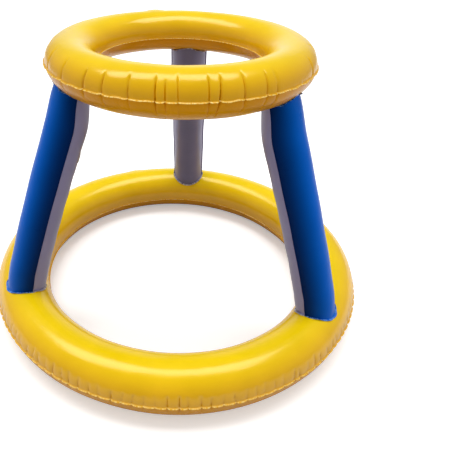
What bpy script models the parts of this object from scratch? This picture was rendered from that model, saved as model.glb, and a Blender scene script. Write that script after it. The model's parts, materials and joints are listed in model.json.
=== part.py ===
"""Free-standing inflatable basketball hoop for children, at its real size, in metres with +Z up.

Two round air tubes, a wide one on the floor and a narrow one on top, are joined by three leaning
round legs. Every tube is two sheets of PVC film welded along both edges, and each of the five air
chambers has its own push-in valve. The origin is on the floor, under the middle of the hoop.
"""

import math
from collections import namedtuple

import bmesh
import bpy
import numpy as np
from mathutils import Matrix, Vector

# Film, welds and the gap that is kept between neighbouring pieces
FILM = 0.0003
CLEARANCE = 0.0003
OUTER_SEAM_WIDTH = 0.0022
INNER_SEAM_WIDTH = 0.0018
SIDE_SEAM_WIDTH = 0.0018
SHEET_GAP = CLEARANCE

# Base ring: the circle through the middle of its tube, and half the tube's width and height
BASE_RADIUS = 0.2683
BASE_HALF_WIDTH = 0.0417
BASE_HALF_HEIGHT = 0.0398
BASE_STEPS = 60

# Hoop ring, with one crease and one bulge of the film to each pucker
HOOP_RADIUS = 0.1447
HOOP_HALF_WIDTH = 0.0323
HOOP_HALF_HEIGHT = 0.0271
HOOP_CENTRE_HEIGHT = 0.3890
HOOP_PUCKERS = 26
PUCKER_DEPTH = 0.0012
PUCKER_REACH = math.radians(58)

# Flat faces across half a tube: an odd number, so that the lowest one lies flat on the floor
ARC_FACES = 7

# Legs: their directions and their round section. The line of a leg meets the base ring's crown a
# little inside the tube's middle, and its weld pulls the foot's end further in. The head stands
# under the middle of the hoop's tube.
LEG_NAMES = ("back", "left", "right")
FIRST_LEG_ANGLE = math.radians(86.4)
LEG_FOOT_RADIUS = 0.0287
LEG_HEAD_RADIUS = 0.0274
LEG_FOOT_INSET = 0.0013
LEG_FOOT_PULL = 0.0060
LEG_FOOT_DRAW = 0.0350
LEG_HEAD_DRAW = 0.0450
LEG_HEM_WIDTH = 0.0032
LEG_EAR_HEIGHT = 0.0030
LEG_EAR_TIP = 0.0010
OUTER_PANEL_HALF_ANGLE = math.radians(94)
OUTER_PANEL_FACES = 13
INNER_PANEL_FACES = 11
WELD_GRIP_SHARE = 0.80

# Push-in valve
BORE_RADIUS = 0.0019
STEM_WALL = 0.0010
LIP_WIDTH = 0.0020
LIP_HEIGHT = 0.0008
CUP_WALL = 0.0008
FLANGE_WIDTH = 0.0026
FLANGE_HEIGHT = 0.0006
SLEEVE_LENGTH = 0.0030
VALVE_TRAVEL = 0.0080
BEAD_WIDTH = 0.0008
BEAD_HEIGHT = 0.0010
PLUG_HEAD_RADIUS = 0.0039
PLUG_HEAD_HEIGHT = 0.0009
PIN_LENGTH = 0.0020
PIN_TAPER = 0.0005
STRAP_HALF_WIDTH = 0.0012
STRAP_LENGTH = 0.0004
STRAP_END = 0.0003
FLAP_OVERLAP = 0.0008
FLAP_HEIGHT = 0.0004
VALVE_STEPS = 12

# Where the valves are: a face of the ring's outer wall, and a share of the leg's length
RING_VALVE_FACE = 1
BASE_VALVE_ANGLE = math.radians(111)
HOOP_VALVE_ANGLE = math.radians(107)
LEG_VALVE_SHARE = 0.72
CALM_STEPS = 3
CUTTER_REACH = 0.0100

Ring = namedtuple("Ring", "radius half_width half_height height steps puckers")
Joint = namedtuple("Joint", "ring side place pull")


def seam_start(half_height, lift):
    """The angle round a tube at which its skin is this far above or below the seam."""
    return math.asin(lift / half_height)


def contact_height():
    """The height of the base tube's middle at which the lowest flat face lies on the floor."""
    start = seam_start(BASE_HALF_HEIGHT, SHEET_GAP / 2 + FILM)
    half_face = (math.pi - 2 * start) / ARC_FACES / 2
    return BASE_HALF_HEIGHT * math.cos(half_face)


BASE_RING = Ring(BASE_RADIUS, BASE_HALF_WIDTH, BASE_HALF_HEIGHT, contact_height(), BASE_STEPS, 0)
HOOP_RING = Ring(
    HOOP_RADIUS,
    HOOP_HALF_WIDTH,
    HOOP_HALF_HEIGHT,
    HOOP_CENTRE_HEIGHT,
    2 * HOOP_PUCKERS,
    HOOP_PUCKERS,
)
FOOT = Joint(BASE_RING, 1, BASE_RADIUS - LEG_FOOT_INSET, LEG_FOOT_PULL)
HEAD = Joint(HOOP_RING, -1, HOOP_RADIUS, 0)


def clear_scene():
    for obj in list(bpy.data.objects):
        bpy.data.objects.remove(obj, do_unlink=True)


def make_material(name, colour, roughness):
    """A glossy plastic film or moulding of one colour, given as linear red, green and blue."""
    material = bpy.data.materials.new(name)
    material.use_nodes = True
    shader = material.node_tree.nodes["Principled BSDF"]
    shader.inputs["Base Color"].default_value = (*colour, 1)
    shader.inputs["Roughness"].default_value = roughness
    shader.inputs["Metallic"].default_value = 0
    return material


def make_object(name, shape, material, parent=None):
    """Turns a bmesh into an object whose faces point out of its one closed body."""
    bmesh.ops.recalc_face_normals(shape, faces=shape.faces)
    mesh = bpy.data.meshes.new(name)
    shape.to_mesh(mesh)
    shape.free()
    mesh.shade_smooth()
    mesh.set_sharp_from_angle(angle=math.radians(40))
    obj = bpy.data.objects.new(name, mesh)
    obj.data.materials.append(material)
    obj.parent = parent
    bpy.context.scene.collection.objects.link(obj)
    return obj


def add_boolean(obj, other, operation):
    """Cuts or joins a helper object, which is then hidden from renders."""
    other.hide_render = True
    other.display_type = "WIRE"
    modifier = obj.modifiers.new(other.name, "BOOLEAN")
    modifier.operation = operation
    modifier.solver = "EXACT"
    modifier.object = other


def spin_profile(profile, steps):
    """A profile of (radius, height) points turned all the way round the Z axis."""
    shape = bmesh.new()
    points = [shape.verts.new((radius, 0, height)) for radius, height in profile]
    closed = profile[0][0] > 0
    pairs = list(zip(points, points[1:] + points[:1] if closed else points[1:]))
    edges = [shape.edges.new(pair) for pair in pairs]
    bmesh.ops.spin(
        shape,
        geom=points + edges,
        cent=(0, 0, 0),
        axis=(0, 0, 1),
        angle=math.tau,
        steps=steps,
        use_merge=True,
    )
    bmesh.ops.remove_doubles(shape, verts=shape.verts, dist=CLEARANCE / 1000)
    return shape


def extrude_outline(outline, low, high):
    """A flat outline of (x, y) points made into a plate between two heights."""
    shape = bmesh.new()
    face = shape.faces.new([shape.verts.new((x, y, low)) for x, y in outline])
    lifted = bmesh.ops.extrude_face_region(shape, geom=[face])["geom"]
    corners = [item for item in lifted if isinstance(item, bmesh.types.BMVert)]
    bmesh.ops.translate(shape, verts=corners, vec=(0, 0, high - low))
    return shape


def arc_angles(ring, depth, lift):
    """Angles from the outer seam over the tube to the inner seam, for one face of the film."""
    start = seam_start(ring.half_height - depth, lift)
    return np.linspace(start, math.pi - start, ARC_FACES + 1)


def tube_arc(ring, side, depth, lift):
    """Section points of one face of a ring's film, above or below the seam."""
    angles = arc_angles(ring, depth, lift)
    radii = ring.radius + (ring.half_width - depth) * np.cos(angles)
    heights = ring.height + side * (ring.half_height - depth) * np.sin(angles)
    return list(zip(radii.tolist(), heights.tolist()))


def ring_section(ring, side):
    """The closed section of a ring's upper (1) or lower (-1) sheet, with a weld strip at each edge."""
    inside = SHEET_GAP / 2
    outside = inside + FILM
    outer_edge = ring.radius + ring.half_width + OUTER_SEAM_WIDTH
    inner_edge = ring.radius - ring.half_width - INNER_SEAM_WIDTH
    outer_tip = [(outer_edge, ring.height + side * lift) for lift in (inside, outside)]
    inner_tip = [(inner_edge, ring.height + side * lift) for lift in (outside, inside)]
    outer_face = tube_arc(ring, side, 0, outside)
    inner_face = tube_arc(ring, side, FILM, inside)
    return outer_tip + outer_face + inner_tip + inner_face[::-1]


def pucker_share(ring, radius, height, angle):
    """How far a crease is drawn in here: whole at the outer seam, none on the crown or by the valve."""
    across = (radius - ring.radius) / ring.half_width
    up = (height - ring.height) / ring.half_height
    round_tube = abs(math.atan2(up, across))
    if round_tube >= PUCKER_REACH:
        return 0
    fade = math.cos(round_tube / PUCKER_REACH * math.pi / 2) ** 2
    crease = (1 + math.cos(ring.puckers * angle)) / 2
    from_valve = abs((angle - HOOP_VALVE_ANGLE + math.pi) % math.tau - math.pi)
    steps_away = from_valve / (math.tau / ring.steps)
    return fade * crease * min(1, max(0, steps_away / CALM_STEPS - 1 / 2))


def draw_in_puckers(shape, ring):
    """Draws the outer wall in at each crease, as welding a flat ring of film leaves it."""
    for vertex in shape.verts:
        x, y, z = vertex.co
        radius = math.hypot(x, y)
        share = pucker_share(ring, radius, z, math.atan2(y, x))
        scale = 1 - PUCKER_DEPTH * share / radius
        vertex.co = (x * scale, y * scale, z)


def make_ring_panel(name, ring, side, material):
    shape = spin_profile(ring_section(ring, side), ring.steps)
    if ring.puckers:
        draw_in_puckers(shape, ring)
    return make_object(name, shape, material)


def leg_line():
    """The leg's centre line in its own upright plane: foot, head and lean from the vertical."""
    foot = (FOOT.place, BASE_RING.height + BASE_RING.half_height)
    head = (HEAD.place, HOOP_RING.height - HOOP_RING.half_height)
    lean = math.atan2(foot[0] - head[0], head[1] - foot[1])
    return foot, head, lean


def leg_length():
    foot, head, _ = leg_line()
    return math.dist(foot, head)


def leg_radius(along):
    """The leg's radius at a distance from its foot along the centre line."""
    share = along / leg_length()
    return LEG_FOOT_RADIUS + (LEG_HEAD_RADIUS - LEG_FOOT_RADIUS) * share


def facet_rise(ring):
    """How far the flat faces of a ring stand proud of the true tube, on the side towards its middle."""
    return (ring.radius - ring.half_width / 2) * (1 - math.cos(math.pi / ring.steps))


def leg_section(radius, panel, skin):
    """Points (outwards, sideways) across one leg panel, from one weld strip's edge to the other's.

    panel is 1 for the outer sheet and -1 for the inner one. skin is the film's thickness for its
    outside face and 0 for its inside face.
    """
    half = OUTER_PANEL_HALF_ANGLE if panel > 0 else math.pi - OUTER_PANEL_HALF_ANGLE
    faces = OUTER_PANEL_FACES if panel > 0 else INNER_PANEL_FACES
    reach = radius - FILM + skin
    lift = SHEET_GAP / 2 + skin
    start = half - lift / reach
    angles = np.linspace(-start, start, faces + 1)
    arc = [(reach * math.cos(a), reach * math.sin(a)) for a in angles]
    strip = radius + SIDE_SEAM_WIDTH
    out = strip * math.cos(half) + lift * math.sin(half)
    side = strip * math.sin(half) - lift * math.cos(half)
    section = [(out, -side)] + arc + [(out, side)]
    return [(panel * x, panel * y) for x, y in section]


def weld_point(joint, radius, point, rise, hem):
    """Where a line of the leg's skin meets a ring, in the leg's own frame (outward, sideways, up).

    The point's distance from the tube's middle, square to the leg, gives its angle round the
    tube. hem moves it on over the ring's skin, away from the leg, and rise lifts it off the skin.
    """
    ring, side, place, pull = joint
    _, _, lean = leg_line()
    out, across = point
    wide = ring.half_width * math.cos(lean)
    tall = ring.half_height * math.sin(lean)
    widest = math.hypot(wide, tall)
    turn = math.atan2(tall, wide)
    middle = (place - ring.radius) * math.cos(lean) + side * tall - pull
    farthest = min(middle + radius, WELD_GRIP_SHARE * widest)
    nearest = max(middle - radius, -WELD_GRIP_SHARE * widest)
    weld_middle = (farthest + nearest) / 2
    bow = (ring.radius - math.sqrt(ring.radius**2 - across**2)) * math.cos(lean)
    distance = weld_middle + out * (farthest - nearest) / (2 * radius) + bow
    share = max(-1, min(1, distance / widest))
    angle = math.asin(share) - side * turn
    centre = math.asin(weld_middle / widest) - side * turn
    mean_half = (ring.half_width + ring.half_height) / 2
    away = Vector(((angle - centre) * mean_half, across)).normalized() * hem
    angle += away.x / mean_half
    across += away.y
    from_axis = ring.radius + (ring.half_width + rise) * math.sin(angle)
    up = ring.height + side * (ring.half_height + rise) * math.cos(angle)
    return math.sqrt(from_axis**2 - across**2), across, up


def weld_row(joint, radius, section, skin, hem):
    """One row of a leg panel on a ring. The side strips end above the hem, in a small ear."""
    seat = CLEARANCE + facet_rise(joint.ring)
    row = []
    for index, point in enumerate(section):
        if index in (0, len(section) - 1):
            ear = LEG_EAR_TIP if hem else LEG_EAR_HEIGHT
            past_strip = hem - SIDE_SEAM_WIDTH if hem else 0
            row.append(weld_point(joint, radius, point, seat + FILM + ear, past_strip))
        else:
            row.append(weld_point(joint, radius, point, seat + skin, hem))
    return row


def tube_row(along, section):
    """One row of a leg panel round the straight part of the leg."""
    foot, _, lean = leg_line()
    row = []
    for out, across in section:
        outward = foot[0] - along * math.sin(lean) + out * math.cos(lean)
        up = foot[1] + along * math.cos(lean) + out * math.sin(lean)
        row.append((outward, across, up))
    return row


def leg_face(panel, skin):
    """One face of a leg panel: rows of points from the hem on the base ring to the hem on the hoop."""
    low = LEG_FOOT_DRAW
    high = leg_length() - LEG_HEAD_DRAW
    foot = leg_section(LEG_FOOT_RADIUS, panel, skin)
    head = leg_section(LEG_HEAD_RADIUS, panel, skin)
    return [
        weld_row(FOOT, LEG_FOOT_RADIUS, foot, skin, LEG_HEM_WIDTH),
        weld_row(FOOT, LEG_FOOT_RADIUS, foot, skin, 0),
        tube_row(low, leg_section(leg_radius(low), panel, skin)),
        tube_row(high, leg_section(leg_radius(high), panel, skin)),
        weld_row(HEAD, LEG_HEAD_RADIUS, head, skin, 0),
        weld_row(HEAD, LEG_HEAD_RADIUS, head, skin, LEG_HEM_WIDTH),
    ]


def join_faces(outer_rows, inner_rows):
    """A thin sheet: two grids of points, one for each face of the film, closed all round the rim."""
    shape = bmesh.new()
    outer = [[shape.verts.new(point) for point in row] for row in outer_rows]
    inner = [[shape.verts.new(point) for point in row] for row in inner_rows]
    rows = len(outer)
    columns = len(outer[0])
    for r in range(rows - 1):
        for c in range(columns - 1):
            for grid in (outer, inner):
                quad = [grid[r][c], grid[r][c + 1], grid[r + 1][c + 1], grid[r + 1][c]]
                shape.faces.new(quad)
    for c in range(columns - 1):
        for r in (0, rows - 1):
            shape.faces.new([outer[r][c], outer[r][c + 1], inner[r][c + 1], inner[r][c]])
    for r in range(rows - 1):
        for c in (0, columns - 1):
            shape.faces.new([outer[r][c], outer[r + 1][c], inner[r + 1][c], inner[r][c]])
    bmesh.ops.triangulate(shape, faces=shape.faces, quad_method="SHORT_EDGE")
    return shape


def make_leg_panel(name, panel, turn, material):
    shape = join_faces(leg_face(panel, FILM), leg_face(panel, 0))
    obj = make_object(name, shape, material)
    obj.rotation_euler.z = turn
    return obj


def make_frame(name, origin, along, outward):
    """An empty at a valve, with X towards the strap's hinge and Z out of the film."""
    frame = bpy.data.objects.new(name, None)
    axis_x = Vector(along).normalized()
    axis_z = Vector(outward).normalized()
    axis_y = axis_z.cross(axis_x)
    turn = Matrix((axis_x, axis_y, axis_z)).transposed()
    frame.matrix_world = Matrix.Translation(origin) @ turn.to_4x4()
    frame.empty_display_size = STEM_WALL + BORE_RADIUS
    bpy.context.scene.collection.objects.link(frame)
    return frame


def ring_valve_frame(name, ring, wanted_angle):
    """A valve in the middle of a flat face of the ring's upper sheet, next to the wanted angle."""
    step = math.tau / ring.steps
    angle = (math.floor(wanted_angle / step) + 1 / 2) * step
    chord = math.cos(step / 2)
    arc = tube_arc(ring, 1, 0, SHEET_GAP / 2 + FILM)
    (low_r, low_z), (high_r, high_z) = arc[RING_VALVE_FACE : RING_VALVE_FACE + 2]
    turn = Matrix.Rotation(angle, 3, "Z")
    origin = turn @ Vector(((low_r + high_r) / 2 * chord, 0, (low_z + high_z) / 2))
    outward = turn @ Vector((high_z - low_z, 0, (low_r - high_r) * chord))
    along = turn @ Vector((0, 1, 0))
    return make_frame(name, origin, along, outward)


def leg_valve_frame(name, turn_angle):
    """A valve in the middle of the leg's inner sheet, with its strap towards the foot."""
    foot, _, lean = leg_line()
    distance = LEG_VALVE_SHARE * leg_length()
    radius = leg_radius(distance)
    turn = Matrix.Rotation(turn_angle, 3, "Z")
    downhill = Vector((math.sin(lean), 0, -math.cos(lean)))
    inward = Vector((-math.cos(lean), 0, -math.sin(lean)))
    on_line = Vector((foot[0], 0, foot[1])) - distance * downhill
    return make_frame(name, turn @ (on_line + radius * inward), turn @ downhill, turn @ inward)


STEM_RADIUS = BORE_RADIUS + STEM_WALL
LIP_RADIUS = STEM_RADIUS + LIP_WIDTH
CUP_RADIUS = LIP_RADIUS + CLEARANCE
CUP_OUTSIDE = CUP_RADIUS + CUP_WALL
SLEEVE_RADIUS = STEM_RADIUS + CLEARANCE
SLEEVE_OUTSIDE = SLEEVE_RADIUS + CUP_WALL
FLANGE_RADIUS = CUP_OUTSIDE + FLANGE_WIDTH
PLUG_HINGE = PLUG_HEAD_RADIUS + STRAP_LENGTH
FLAP_RADIUS = BORE_RADIUS + FLAP_OVERLAP
FLAP_HINGE = FLAP_RADIUS + STRAP_LENGTH

# Heights above the film, from the flange down to the flap
FLANGE_TOP = CLEARANCE + FLANGE_HEIGHT
HEAD_TOP = FLANGE_TOP + CLEARANCE
HEAD_BOTTOM = HEAD_TOP - PLUG_HEAD_HEIGHT
LIP_TOP = HEAD_BOTTOM - CLEARANCE
LIP_BOTTOM = LIP_TOP - LIP_HEIGHT
FLOOR_TOP = LIP_BOTTOM - CLEARANCE
FLOOR_BOTTOM = FLOOR_TOP - CUP_WALL
SLEEVE_BOTTOM = FLOOR_BOTTOM - SLEEVE_LENGTH
BEAD_TOP = SLEEVE_BOTTOM - VALVE_TRAVEL - CLEARANCE
BEAD_BOTTOM = BEAD_TOP - BEAD_HEIGHT
FLAP_TOP = BEAD_BOTTOM - CLEARANCE


def make_seat(name, frame, bend_radius, material):
    """The welded flange with a round cup, whose floor carries the sleeve that guides the stem."""
    profile = [
        (FLANGE_RADIUS, CLEARANCE),
        (FLANGE_RADIUS, FLANGE_TOP),
        (CUP_RADIUS, FLANGE_TOP),
        (CUP_RADIUS, FLOOR_TOP),
        (SLEEVE_RADIUS, FLOOR_TOP),
        (SLEEVE_RADIUS, SLEEVE_BOTTOM),
        (SLEEVE_OUTSIDE, SLEEVE_BOTTOM),
        (SLEEVE_OUTSIDE, FLOOR_BOTTOM),
        (CUP_OUTSIDE, FLOOR_BOTTOM),
        (CUP_OUTSIDE, CLEARANCE),
    ]
    shape = spin_profile(profile, VALVE_STEPS)
    if bend_radius:
        for vertex in shape.verts:
            vertex.co.z -= vertex.co.y**2 / (2 * bend_radius)
    return make_object(name, shape, material, frame)


def make_stem(name, frame, material):
    """The tube that is blown into. It is drawn out for that, and pushed in flush afterwards."""
    profile = [
        (BORE_RADIUS, LIP_TOP),
        (LIP_RADIUS, LIP_TOP),
        (LIP_RADIUS, LIP_BOTTOM),
        (STEM_RADIUS, LIP_BOTTOM),
        (STEM_RADIUS, BEAD_TOP),
        (STEM_RADIUS + BEAD_WIDTH, BEAD_TOP),
        (STEM_RADIUS + BEAD_WIDTH, BEAD_BOTTOM),
        (BORE_RADIUS, BEAD_BOTTOM),
    ]
    return make_object(name, spin_profile(profile, VALVE_STEPS), material, frame)


def disc_with_strap(radius, hinge, faces):
    """The outline of a round disc and its strap, seen from the hinge, which is at the origin."""
    neck = math.asin(STRAP_HALF_WIDTH / radius)
    angles = np.linspace(neck, math.tau - neck, faces + 1)
    disc = [(radius * math.cos(a) - hinge, radius * math.sin(a)) for a in angles]
    return disc + [(STRAP_END, -STRAP_HALF_WIDTH), (STRAP_END, STRAP_HALF_WIDTH)]


def make_plug(name, stem, material):
    """The flat plug with its tapered pin, on a short strap that bends at the stem's lip."""
    outline = disc_with_strap(PLUG_HEAD_RADIUS, PLUG_HINGE, VALVE_STEPS)
    plug = make_object(name, extrude_outline(outline, -PLUG_HEAD_HEIGHT, 0), material, stem)
    plug.location = (PLUG_HINGE, 0, HEAD_TOP)
    pin_top = BORE_RADIUS - CLEARANCE
    pin_bottom = pin_top - PIN_TAPER
    profile = [
        (0, -PLUG_HEAD_HEIGHT / 2),
        (pin_top, -PLUG_HEAD_HEIGHT / 2),
        (pin_top, -PLUG_HEAD_HEIGHT),
        (pin_bottom, -PLUG_HEAD_HEIGHT - PIN_LENGTH),
        (0, -PLUG_HEAD_HEIGHT - PIN_LENGTH),
    ]
    pin = make_object(name + "_pin", spin_profile(profile, VALVE_STEPS - 2), material, plug)
    pin.location.x = -PLUG_HINGE
    add_boolean(plug, pin, "UNION")
    return plug


def make_flap(name, stem, material):
    """The thin check flap under the stem, which air blown in pushes away and its own spring shuts."""
    outline = disc_with_strap(FLAP_RADIUS, FLAP_HINGE, VALVE_STEPS - 2)
    flap = make_object(name, extrude_outline(outline, -FLAP_HEIGHT, 0), material, stem)
    flap.location = (FLAP_HINGE, 0, FLAP_TOP)
    return flap


def make_valve(name, panel, frame, bend_radius, material):
    """Cuts the hole in the film and puts the four pieces of a valve into it."""
    profile = [
        (0, CUTTER_REACH),
        (CUP_OUTSIDE + CLEARANCE, CUTTER_REACH),
        (CUP_OUTSIDE + CLEARANCE, -CUTTER_REACH),
        (0, -CUTTER_REACH),
    ]
    cutter = make_object(name + "_hole", spin_profile(profile, 2 * VALVE_STEPS), material, frame)
    add_boolean(panel, cutter, "DIFFERENCE")
    make_seat(name + "_seat", frame, bend_radius, material)
    stem = make_stem(name + "_stem", frame, material)
    make_plug(name + "_plug", stem, material)
    make_flap(name + "_flap", stem, material)


def make_ring(name, ring, valve_angle, film, moulding):
    """A ring's two sheets and its valve."""
    upper = make_ring_panel(name + "_upper_panel", ring, 1, film)
    make_ring_panel(name + "_lower_panel", ring, -1, film)
    frame = ring_valve_frame(name + "_valve_frame", ring, valve_angle)
    make_valve(name + "_valve", upper, frame, 0, moulding)


def make_leg(name, turn, outer_film, inner_film, moulding):
    """A leg's two sheets and its valve."""
    make_leg_panel(name + "_outer_panel", 1, turn, outer_film)
    inner = make_leg_panel(name + "_inner_panel", -1, turn, inner_film)
    frame = leg_valve_frame(name + "_valve_frame", turn)
    make_valve(name + "_valve", inner, frame, leg_radius(LEG_VALVE_SHARE * leg_length()), moulding)


def build():
    clear_scene()
    yellow = make_material("yellow_pvc_film", (0.85, 0.52, 0.01), 0.22)
    blue = make_material("blue_pvc_film", (0.005, 0.05, 0.30), 0.28)
    grey = make_material("grey_pvc_film", (0.19, 0.17, 0.22), 0.34)
    moulding = make_material("clear_pvc_moulding", (0.75, 0.74, 0.70), 0.30)
    make_ring("base_ring", BASE_RING, BASE_VALVE_ANGLE, yellow, moulding)
    make_ring("hoop_ring", HOOP_RING, HOOP_VALVE_ANGLE, yellow, moulding)
    for index, name in enumerate(LEG_NAMES):
        turn = FIRST_LEG_ANGLE + index * math.tau / len(LEG_NAMES)
        make_leg("leg_" + name, turn, blue, grey, moulding)
    bpy.context.view_layer.update()


build()
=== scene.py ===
"""The looks of a free-standing inflatable basketball hoop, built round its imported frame, in metres.

The pieces come in the order in which the hoop is put together: the base ring, the hoop ring, the
three legs and the five push-in valves. The floor, the light and the camera come last.
"""

import json
import math
from collections import namedtuple

import bpy
import numpy as np
from mathutils import Matrix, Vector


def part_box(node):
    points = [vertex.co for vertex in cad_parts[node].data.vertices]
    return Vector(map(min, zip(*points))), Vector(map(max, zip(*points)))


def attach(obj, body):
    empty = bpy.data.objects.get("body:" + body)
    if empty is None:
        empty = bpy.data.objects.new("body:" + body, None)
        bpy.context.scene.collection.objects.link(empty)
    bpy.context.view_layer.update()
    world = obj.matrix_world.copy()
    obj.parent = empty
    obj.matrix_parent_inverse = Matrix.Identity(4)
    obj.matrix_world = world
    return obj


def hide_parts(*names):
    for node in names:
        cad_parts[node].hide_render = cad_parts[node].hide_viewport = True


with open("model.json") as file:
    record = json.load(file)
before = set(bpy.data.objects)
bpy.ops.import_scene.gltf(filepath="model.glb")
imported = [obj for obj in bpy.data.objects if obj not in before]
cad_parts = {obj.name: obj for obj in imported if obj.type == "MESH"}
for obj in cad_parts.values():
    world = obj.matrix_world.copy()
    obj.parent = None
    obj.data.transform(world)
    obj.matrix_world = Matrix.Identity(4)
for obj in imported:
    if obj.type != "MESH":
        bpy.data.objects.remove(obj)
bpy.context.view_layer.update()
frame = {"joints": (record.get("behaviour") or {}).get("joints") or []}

# Base ring. A round tube that lies on the floor, of two flat rings of glossy yellow PVC film that
# are laid on each other and welded along both edges. Blown up, the outer wall has more film than
# it needs, so it gathers in short creases at the outer seam, and the seam itself runs in waves.
FILM = 0.0003
WELD_GAP = 0.00002
SEAM_FILLET = 0.00045
STRIP_STEPS, FILLET_STEPS = 5, 4
OUTER_SEAM_DROOP = math.radians(55)
INNER_SEAM_DROOP = math.radians(15)
# Shares of a seam strip's width, out from the tube, over which the painted highlight along its edge comes
# in.
HIGHLIGHT_EDGE_SHARES = (0.25, 0.60)

base_low, base_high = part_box("base_ring_upper_panel")
BASE_OUTER_SEAM = 0.0022
BASE_INNER_SEAM = 0.0018
BASE_HALF_WIDTH = 0.0417
BASE_HALF_HEIGHT = 0.0398
BASE_SEAM_HEIGHT = base_low.z - WELD_GAP
BASE_MIDDLE_RADIUS = base_high.x - BASE_OUTER_SEAM - BASE_HALF_WIDTH
BASE_OUTER_RISE = math.radians(5.5)
BASE_INNER_DROP = math.radians(14)
BASE_CREASES = 128
BASE_CREASE_JITTER = 0.16
BASE_CREASE_DEPTH = 0.0026
BASE_CREASE_WIDTH = 0.0012
BASE_CREASE_REACH = math.radians(30)
BASE_CREASE_UNDER = 0.7
BASE_CREASE_SHADE = 0.45
BASE_SEAM_WAVE = 0.0004
BASE_STEPS_PER_CREASE = 7

CREASE_STRENGTHS = (0.5, 1.0)
CREASE_REACH_SHARES = (0.7, 1.0)
CREASE_LEAN = 0.012
VALLEY_SHARE = 0.75
VALLEY_END = 0.7
UNDER_REACH_SHARE = 0.8
UNDER_BLEND = math.radians(12)

Tube = namedtuple(
    "Tube", "radius half_width half_height height outer_seam inner_seam outer_rise inner_drop folds"
)
Folds = namedtuple("Folds", "places strengths reaches leans depth width under_share wave shade")
Swell = namedtuple("Swell", "height along across phase turn")


def smooth_step(low, high, x):
    """0 up to low, 1 from high on, and 3t² - 2t³ between them."""
    t = np.clip((x - low) / (high - low), 0, 1)
    return t * t * (3 - 2 * t)


def gathered_folds(places, seed, depth, width, reach, under_share, wave, shade):
    """The creases at a welded edge, each at its place round the ring.

    Strength and reach are drawn evenly from their ranges, and the lean from a bell curve about 0.
    """
    random = np.random.default_rng(seed)
    count = len(places)
    strengths = random.uniform(*CREASE_STRENGTHS, count)
    reaches = reach * random.uniform(*CREASE_REACH_SHARES, count)
    leans = random.normal(0, CREASE_LEAN, count)
    return Folds(np.sort(places), strengths, reaches, leans, depth, width, under_share, wave, shade)


def jittered_places(count, seed, spread):
    """Angles round the ring at equal steps, each moved by up to spread of a step."""
    random = np.random.default_rng(seed)
    return (np.arange(count) + random.uniform(-spread, spread, count)) * math.tau / count


def fold_shares(folds, phi, theta, girth):
    """How deep the film lies in a crease here: near 0 on a pillow and 1 in the bottom of a crease.

    t runs from 0 at one crease to 1 at the next. Most of the share is the narrow valley
    exp(-distance / width), which ends short of its reach, and the rest is the round pillow
    |2t - 1| cubed, which fades with cos² on the way up the tube. Below the seam both are weaker.
    """
    middle = np.interp(phi, folds.places, folds.leans, period=math.tau)
    first = folds.places[0]
    turned = first + (phi - middle * theta - first) % math.tau
    before = np.searchsorted(folds.places, turned, side="right") - 1
    after = (before + 1) % len(folds.places)
    cell = (folds.places[after] - folds.places[before]) % math.tau
    t = ((turned - folds.places[before]) % math.tau) / cell
    nearest = np.where(t < 0.5, before, after)
    distance = np.minimum(t, 1 - t) * cell * girth
    reach = folds.reaches[nearest] * np.where(theta < 0, UNDER_REACH_SHARE, 1.0)
    up = np.abs(theta) / reach
    ending = 1 - smooth_step(VALLEY_END, 1.0, up)
    valley = folds.strengths[nearest] * np.exp(-distance / folds.width) * ending
    blend = folds.strengths[before] * (1 - t) + folds.strengths[after] * t
    pillow = blend * np.abs(2 * t - 1) ** 3 * np.cos(np.clip(up, 0, 1) * math.pi / 2) ** 2
    under = 1 - (1 - folds.under_share) * smooth_step(0, UNDER_BLEND, -theta)
    return (VALLEY_SHARE * valley + (1 - VALLEY_SHARE) * pillow) * under


SWELL_HEIGHT_SHARES = (0.4, 1.0)
SWELL_WAVES_ALONG = (3, 17)
SWELL_WAVES_ACROSS = (1, 4)


def swells(count, seed, height):
    """Slow waves that run round and across a tube, from uneven stretch of the film.

    Each is height * cos(along * way round + phase) * cos(across * angle round the tube + turn).
    """
    random = np.random.default_rng(seed)
    return [
        Swell(
            height * random.uniform(*SWELL_HEIGHT_SHARES),
            random.integers(*SWELL_WAVES_ALONG),
            random.integers(*SWELL_WAVES_ACROSS),
            random.uniform(0, math.tau),
            random.uniform(0, math.tau),
        )
        for _ in range(count)
    ]


RING_SWELLS = swells(7, seed=5, height=0.00012)
SEAM_WAVES = swells(6, seed=6, height=0.00022)
SEAM_WAVES_LEAST, SEAM_WAVES_STEP = 20, 3
SEAM_WAVE_REACH = math.radians(26)
MEAN_CREASE = 0.2
FLOOR_SOFTNESS = 0.0004

PLUG_HINGE_OUT = 0.0043
PLUG_HEAD_TOP = 0.0012
FILM_HOLE = 0.0063
HOLE_BLEND = 2.4 * FILM_HOLE
HOLE_MARGIN = 1.02
HOLE_LINES_REACH = 2.5
HOLE_LINES = 21
FLAT_ROUND_VALVE = 0.0095
VALVE_BLEND = 0.0260
TINY = 1e-9
CALM_FROM, CALM_TO = 0.010, 0.028

Spot = namedtuple("Spot", "phi theta")
Place = namedtuple("Place", "origin axes")


def valve_place(name):
    """A valve's origin and axes, from its stem's slide, z, and its plug's hinge, y. x is y cross z."""
    joints = {joint["name"]: joint for joint in frame["joints"]}
    slide = joints[name + "_stem_slide"]
    hinge = joints[name + "_plug_hinge"]
    z = np.array(slide["axis"], float)
    y = np.array(hinge["axis"], float)
    x = np.cross(y, z)
    origin = np.array(hinge["pos_m"], float) - x * PLUG_HINGE_OUT - z * PLUG_HEAD_TOP
    return Place(origin, np.array([x, y, z]))


def calm_near(valve, phi, theta, tube):
    """0 round the tube's valve, where the moulding holds the film flat, and 1 from 28 mm on."""
    if valve is None:
        return np.ones(np.broadcast(phi, theta).shape)
    away = (phi - valve.phi + math.pi) % math.tau - math.pi
    along = away * tube.radius
    across = (theta - valve.theta) * tube.half_width
    return smooth_step(CALM_FROM, CALM_TO, np.hypot(along, across))


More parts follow.
